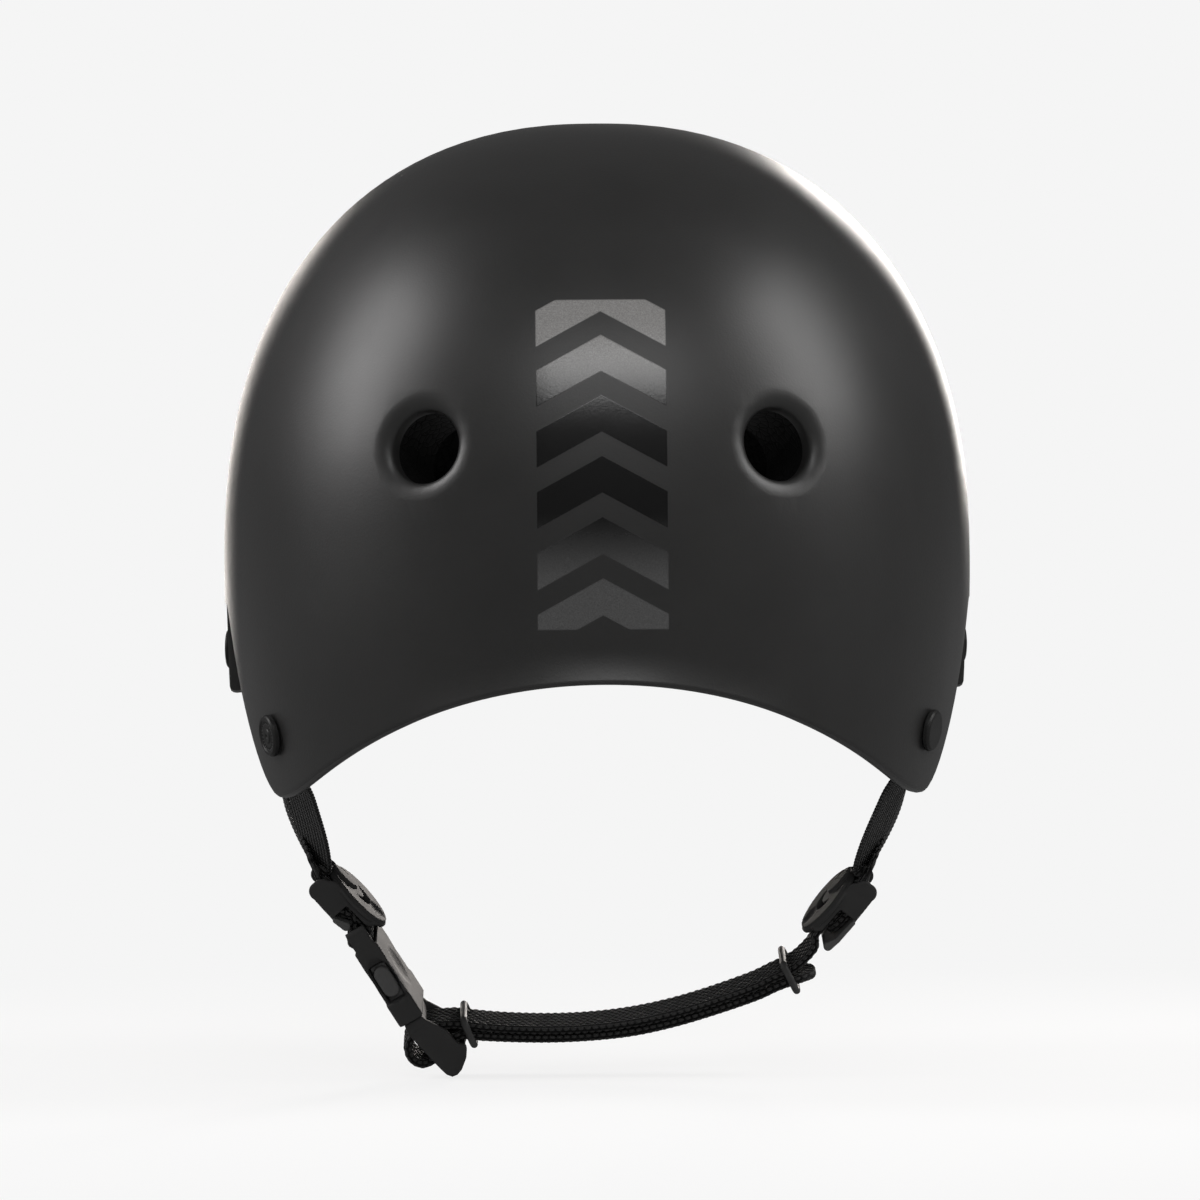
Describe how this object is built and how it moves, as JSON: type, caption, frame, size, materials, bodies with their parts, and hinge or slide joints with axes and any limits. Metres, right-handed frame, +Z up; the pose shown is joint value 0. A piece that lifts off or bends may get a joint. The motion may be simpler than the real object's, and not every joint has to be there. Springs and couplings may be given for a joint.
{
  "type": "skate helmet",
  "caption": "Hard-shell skate helmet with round vents, arched nape, ear notches, padded foam liner and a webbing chin harness with cam dividers and a side-release buckle.",
  "frame": {"origin": "centre of the head opening at the shell's widest level, on the head's axis", "axes": "+Z up along the head's axis, +Y the wearer's forward, +X the wearer's right"},
  "size_m": [0.219, 0.2647, 0.2756],
  "materials": {
    "shell_plastic": "matte, faintly grained",
    "foam": "moulded bead foam, black",
    "pad_cloth": "brushed knit over foam",
    "hook_tape": "hook tape, black",
    "hardware_plastic": "satin moulded plastic",
    "rivet_plastic": "satin moulded plastic",
    "webbing": "woven, black",
    "pin_steel": "bright drawn wire",
    "keeper_rubber": "dull moulded rubber"
  },
  "bodies": {
    "helmet": {"outer_shell": "shell_plastic", "impact_liner": "foam", "brow_pad": "pad_cloth", "nape_pad": "pad_cloth", "crown_pad": "pad_cloth", "side_pad_left": "pad_cloth", "side_pad_right": "pad_cloth", "hook_patches": "hook_tape", "strap_rivets_left": "rivet_plastic", "strap_rivets_right": "rivet_plastic", "rivet_washers": "pin_steel", "front_strap_left": "webbing", "front_strap_right": "webbing", "rear_strap_left": "webbing", "rear_strap_right": "webbing", "divider_base_left": "hardware_plastic", "divider_base_right": "hardware_plastic", "divider_pin_left": "pin_steel", "divider_pin_right": "pin_steel", "buckle_strap": "webbing", "buckle_socket": "hardware_plastic", "buckle_plug": "hardware_plastic", "chin_strap": "webbing"},
    "lever_left": {"divider_lever_left": "hardware_plastic"},
    "lever_right": {"divider_lever_right": "hardware_plastic"},
    "prong_front": {"buckle_prong_front": "hardware_plastic"},
    "prong_rear": {"buckle_prong_rear": "hardware_plastic"},
    "keeper_left": {"strap_keeper_left": "keeper_rubber"},
    "keeper_right": {"strap_keeper_right": "keeper_rubber"}
  },
  "joints": [
    {"name": "lever_left_hinge", "type": "hinge", "parent": "helmet", "child": "lever_left", "pos_m": [-0.07985, -0.0108, -0.0948], "axis": [0, 0.9703, 0.2419], "range_deg": [0, 80]},
    {"name": "lever_right_hinge", "type": "hinge", "parent": "helmet", "child": "lever_right", "pos_m": [0.07584, -0.01033, -0.09669], "axis": [0, -0.9703, -0.2419], "range_deg": [0, 80]},
    {"name": "prong_front_flex", "type": "hinge", "parent": "helmet", "child": "prong_front", "pos_m": [-0.05455, 0.00601, -0.1275], "axis": [0.8572, -0.1246, 0.4997], "range_deg": [0, 9], "stiffness_Nm_per_rad": 0.1},
    {"name": "prong_rear_flex", "type": "hinge", "parent": "helmet", "child": "prong_rear", "pos_m": [-0.05455, -0.01029, -0.13157], "axis": [-0.8572, 0.1246, -0.4997], "range_deg": [0, 9], "stiffness_Nm_per_rad": 0.1},
    {"name": "keeper_left_slide", "type": "slide", "parent": "helmet", "child": "keeper_left", "axis": [0.9969, 0.019, -0.0761], "range_m": [-0.001, 0.004]},
    {"name": "keeper_right_slide", "type": "slide", "parent": "helmet", "child": "keeper_right", "axis": [0.8988, -0.1061, 0.4253], "range_m": [-0.003, 0]}
  ],
  "couplings": [
    {"joint": "prong_rear_flex", "follows": "prong_front_flex", "ratio": 1}
  ]
}
